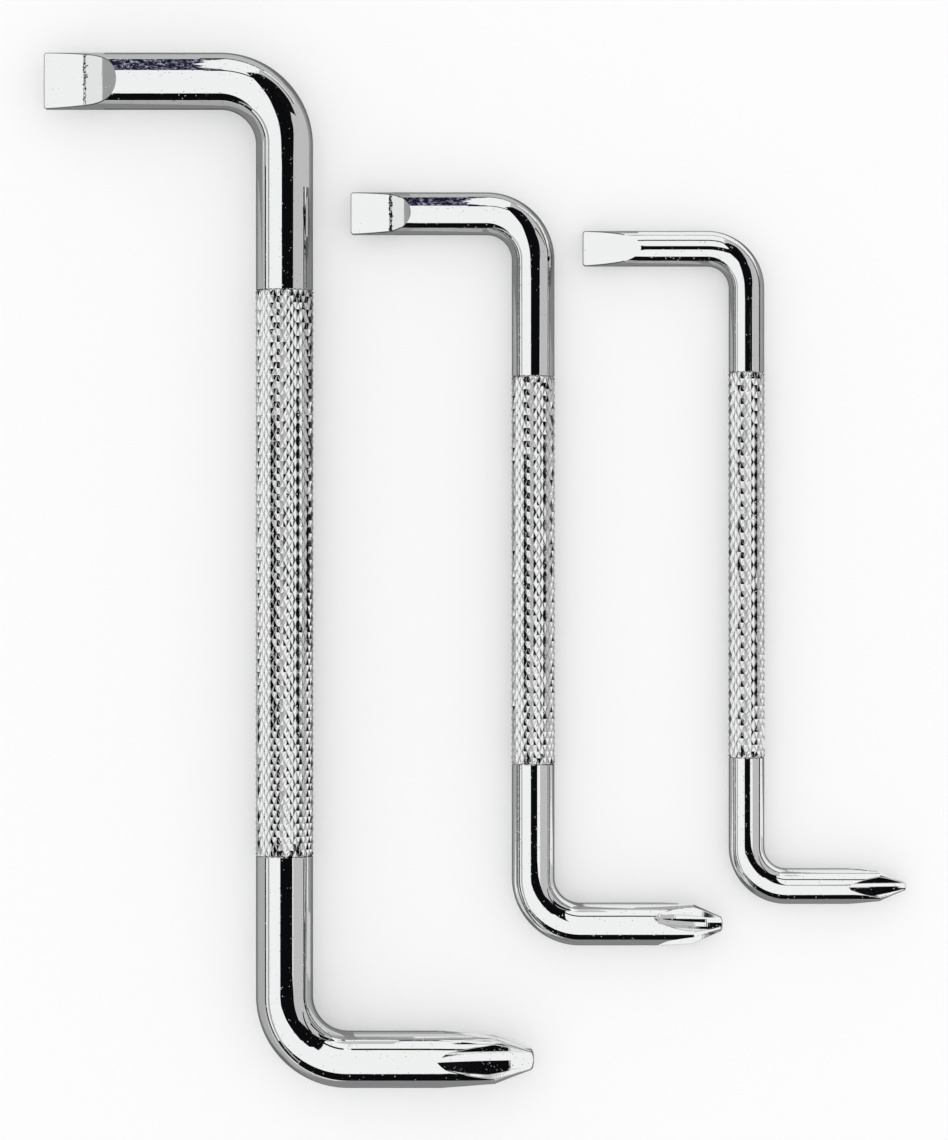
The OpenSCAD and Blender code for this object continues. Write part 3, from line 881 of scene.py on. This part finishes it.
def cards_over_grip(at):
    """The leaning black card and the level grey one that shade the knurl."""
    ends = (at.grip_bottom, at.grip_bottom, at.grip_top, at.grip_top)
    card(f"{at.name}_grip_strip", "black",
         [(at.x + across * at.unit, along, at.z + up * at.unit) for (across, up), along in
          zip(GRIP_STRIP + GRIP_STRIP[::-1], ends)], (at.x - 50, at.y, 0))
    shelf(f"{at.name}_grip_screen", "grey", [at.x + across * at.unit for across in GRIP_SCREEN],
          (at.grip_bottom, at.grip_top), at.z + SCREEN_UP * at.unit)


marks = [landmarks(node, tool) for node, tool in TOOLS.items()]
for at in marks:
    strips_over(at)
    cards_over_grip(at)
    along_flutes, across_flutes = POINT_STRIPS[at.name]
    shelf(f"{at.name}_point_strip", "black", [at.end - share * at.flute_l for share in along_flutes],
          [at.bottom + across * at.unit for across in across_flutes], at.z + STRIP_UP * at.unit)
print("cards over", [at.name for at in marks])

# %% [markdown]
# ## Boards along the arms
# The arms lie along X, so boards that stand along X draw their bands. Every lower arm has one thin black
# line. Behind the two larger blade arms stands a mottled navy board with a ragged end, from which two thin
# black lines run on into the bend. A grey screen at its other end faces the blade. The small blade arm has
# a strip above it and two plain lines behind it instead.

# %% Boards along the arms
NAVY_LOW, NAVY_HIGH = 5.7, 25
NAVY_END = [(1, NAVY_LOW), (-1.6, 7.4), (-3.4, 8.6), (-2.6, 10.5), (-4.6, 13), (-3, 15.5), (-3.8, 18.5),
            (-1.4, 21.5), (1, NAVY_HIGH)]


def lines_behind(at, back, faces):
    """The strip and the two lines of the small blade arm."""
    shelf(f"{at.name}_arm_strip", "black", (at.blade_root - 1, at.x - 2 * at.unit),
          (at.top - at.unit, at.top + 1.05 * at.unit), at.z + STRIP_UP * at.unit)
    for part, start, low, high in (("thin", at.blade_root - 6, 12.4, 15.6), ("low", at.tip, 1.3, 2.2)):
        heights = [at.z + up * at.unit for up in (low, high)]
        board(f"{at.name}_{part}_line", "black", (start, at.x), back, heights, faces)


def navy_behind(at, back, faces):
    """The navy board of a larger blade arm, its two lines and its screen."""
    start, bend_x = at.blade_root - 4, at.x - at.bend_r
    card(f"{at.name}_back_board", "navy",
         [(start, back, up * at.unit) for up in (NAVY_HIGH, NAVY_LOW)]
         + [(bend_x + across * at.unit, back, up * at.unit) for across, up in NAVY_END], faces)
    for part, low, high in (("over", 24.5, 27.5), ("under", 4.6, 5.7)):
        board(f"{at.name}_gap_{part}", "black", (bend_x - 3.5 * at.unit, at.x + 4 * at.unit), back,
              (low * at.unit, high * at.unit), faces)
    wall(f"{at.name}_back_screen", "grey", start - 0.5, (back - 9 * at.unit, back + 12), (0, 26 * at.unit),
         (at.blade_root - 50, at.top, at.z))


for at in marks:
    board(f"{at.name}_lower_line", "black", (at.x + at.bend_r, at.end), at.bottom + 14 * at.unit,
          (17.5 * at.unit, 20.5 * at.unit), (at.x, at.bottom, at.z))
    behind = lines_behind if at.name == "small" else navy_behind
    behind(at, at.top + 15 * at.unit, (at.x, at.top, at.z))
print("boards along", [at.name for at in marks])

# %% [markdown]
# ## Cloths of grey and painted shade on the table
# Low on its sides a bar reflects the table beside it. Grey cloths there, seen in reflections only, are a grey
# table with painted shade on it, darker on the right and in front. They give the bars their grey sides, each
# up to the middle between two tools, and lighter ones soften the upper side of the lower arms. Two narrow
# dark cloths under each bar are painted contact shadow and draw its outline. They lie at slightly different
# heights, so that the wanted one is on top.

# %% Cloths of grey and painted shade on the table
TABLE_LEFT, TABLE_RIGHT, TABLE_FRONT = -990, 83, -520


def side_grey_and_shade(at, left, right):
    """The grey cloths beside the bar, grey table with painted shade, between the limits that a tool shares
    with its neighbours.
    """
    x, top, bottom, unit = at.x, at.top, at.bottom, at.unit
    if at.name != "small":
        cloth(f"{at.name}_pale", "pale_painted_shade", (at.tip - 10, x + 12), (top, top + 60), 0.01)
    rug(f"{at.name}_left", "left_grey_and_shade",
        [(left, bottom + 22 * unit), (x - 8 * unit, bottom - 2 * unit), (x, bottom - 14 * unit), (x, top),
         (left, top)], 0.02)
    rug(f"{at.name}_right", "right_grey_and_shade",
        [(x, bottom + 4 * unit), (x + 7 * unit, bottom + 9 * unit), (x + 13 * unit, bottom + 22 * unit),
         (min(x + 22 * unit, right - 0.1), bottom + 44 * unit), (right, bottom + 50 * unit),
         (right, top + 6 * unit), (x, top + 6 * unit)], 0.02)
    nook = x + (18 if at.name == "large" else 10) * unit
    rug(f"{at.name}_nook", "left_grey_and_shade",
        [(x + 5 * unit, bottom + 6 * unit), (nook, bottom + 9 * unit), (nook, bottom + 44 * unit),
         (x + 5 * unit, bottom + 16 * unit)], 0.018)


def arm_painted_shades(at):
    """The cloths of painted shade beside the two arms."""
    x, top, bottom, unit, bar_r = at.x, at.top, at.bottom, at.unit, at.bar_r
    left_reach, light_reach = (2.6, 5) if at.name == "large" else (1.85, 2.6)
    for reach, shade, height in ((left_reach, "left_grey_and_shade", 0.03), (light_reach, "light_painted_shade", 0.028)):
        cloth(f"{at.name}_arm_{shade}", shade, (x, at.end - 2 * bar_r), (bottom, bottom + reach * bar_r),
              height)
    # Painted shade under the upper arm, and in front of the tools below.
    rug(f"{at.name}_under_arm", "front_painted_shade",
        [(at.tip - 10, top), (x, top), (x, top - 6 * unit), (x - 12 * unit, top - 14 * unit),
         (at.tip - 10, top - 30 * unit)], 0.025)
    cloth(f"{at.name}_front", "front_painted_shade", (x - 1.2 * bar_r, at.end + 12), (TABLE_FRONT, bottom), 0.025)


def painted_contact_shadows(at):
    """Painted contact shadow: narrow dark cloths under the bar, the arms and the point's nose."""
    x, top, bottom, bar_r = at.x, at.top, at.bottom, at.bar_r
    for spread, near, shade, height in ((2.4 * bar_r, 1.65 * bar_r, "near_painted_shadow", 0.035),
                                        (1.75 * bar_r, 1.35 * bar_r, "deep_painted_shadow", 0.05)):
        above = (near + spread) / 2 if at.name == "small" else spread
        cloth(f"{at.name}_bar_{shade}", shade, (x - spread, x + spread), (bottom, top), height)
        cloth(f"{at.name}_upper_{shade}", shade, (at.tip + 2 * bar_r, x + spread),
              (top - spread, top + above), height)
        cloth(f"{at.name}_lower_{shade}", shade, (x - spread, at.end - 2 * bar_r),
              (bottom - spread, bottom + near), height)
    # Painted shadow under the point's nose.
    cloth(f"{at.name}_nose", "deep_painted_shadow", (at.end - 2 * bar_r, at.end + 0.6 * bar_r),
          (bottom - 0.8 * bar_r, bottom + 0.8 * bar_r), 0.05)


halfway = [(one.x + other.x) / 2 for one, other in zip(marks, marks[1:])]
for at, left, right in zip(marks, [TABLE_LEFT, *halfway], [*halfway, TABLE_RIGHT]):
    side_grey_and_shade(at, left, right)
    arm_painted_shades(at)
    painted_contact_shadows(at)
print("limits between the tools:", [round(limit, 1) for limit in halfway])

# %% [markdown]
# ## Far cards
# Far cards serve all the bars at once: a light grey wall over a black line on the right, thin lines near
# the horizon on the left, a black wall in front, and one black sheet high on the right, which draws the
# dark curve through the bends. Two wide dark cloths cover the table: one of painted shade out to the front,
# and a black one out to the right wall. The last two belong to the large tool alone: a screen that dims its
# steep ramp, and a grey cloth with painted shade beside its lower bend.

# %% Far cards
card("far_bend_sheet", "black", [(100, 100, 1e3), (300, 500, 1e3), (760, 1340, 1e3), (1550, 3400, 1e3),
                                 (2370, 2560, 1e3), (950, 410, 1e3), (680, 50, 1e3)], (0, 0, 0))
wall("far_right_wall", "grey", 1e3, (-300, 2500), (85, 1300))
wall("far_right_line", "black", 990, (-300, 2500), (0, 85))
for part, shade, z_range in (("foot", "dim", (0, 123)), ("line", "black", (123, 233)),
                             ("gap", "dim", (372, 547))):
    wall(f"far_left_{part}", shade, -1e3, (-1500, 300), z_range)
board("front_wall", "black", (-4e3, 800), -2990, (0, 2050), (0, 0, 0))
cloth("far_front_painted_shade", "front_painted_shade", (-2e3, 2e3), (-2985, TABLE_FRONT + 1), 0.012)
cloth("far_right_cloth", "black_cloth", (TABLE_RIGHT, 985), (-300, 300), 0.015)
large = marks[0]
wall("large_ramp_screen", "dim", large.tip - 6, (60, 78), (7, 14.6), (0, 69, 5))
cloth("large_lower_left", "left_grey_and_shade", (TABLE_LEFT, large.x - 1.2 * large.bar_r), (-150, -60), 0.02)
print("far cards are placed")

# %% [markdown]
# ## Camera
# The photograph looks straight down from about four times the set's length, so the camera hangs over the
# middle of the set with a long lens. The lens follows from the height of the frame on the table.

# %% Camera
FRAME_H = 160.56
CAMERA_UP = 575.0
SENSOR = 36.0
AXIS_HEIGHT = 3.5
FRAME_CENTRE = (-0.235, 0.04)

eye = bpy.data.cameras.new("overhead_camera")
eye.sensor_width = SENSOR
eye.lens = SENSOR * CAMERA_UP / FRAME_H
eye.clip_start, eye.clip_end = 0.01, 20
camera = bpy.data.objects.new("overhead_camera", eye)
camera.location = Vector((*FRAME_CENTRE, CAMERA_UP + AXIS_HEIGHT)) * MM
bpy.context.scene.collection.objects.link(camera)
bpy.context.scene.camera = camera
bpy.context.scene.view_settings.view_transform = "Standard"
print("lens", round(eye.lens, 1), "mm")
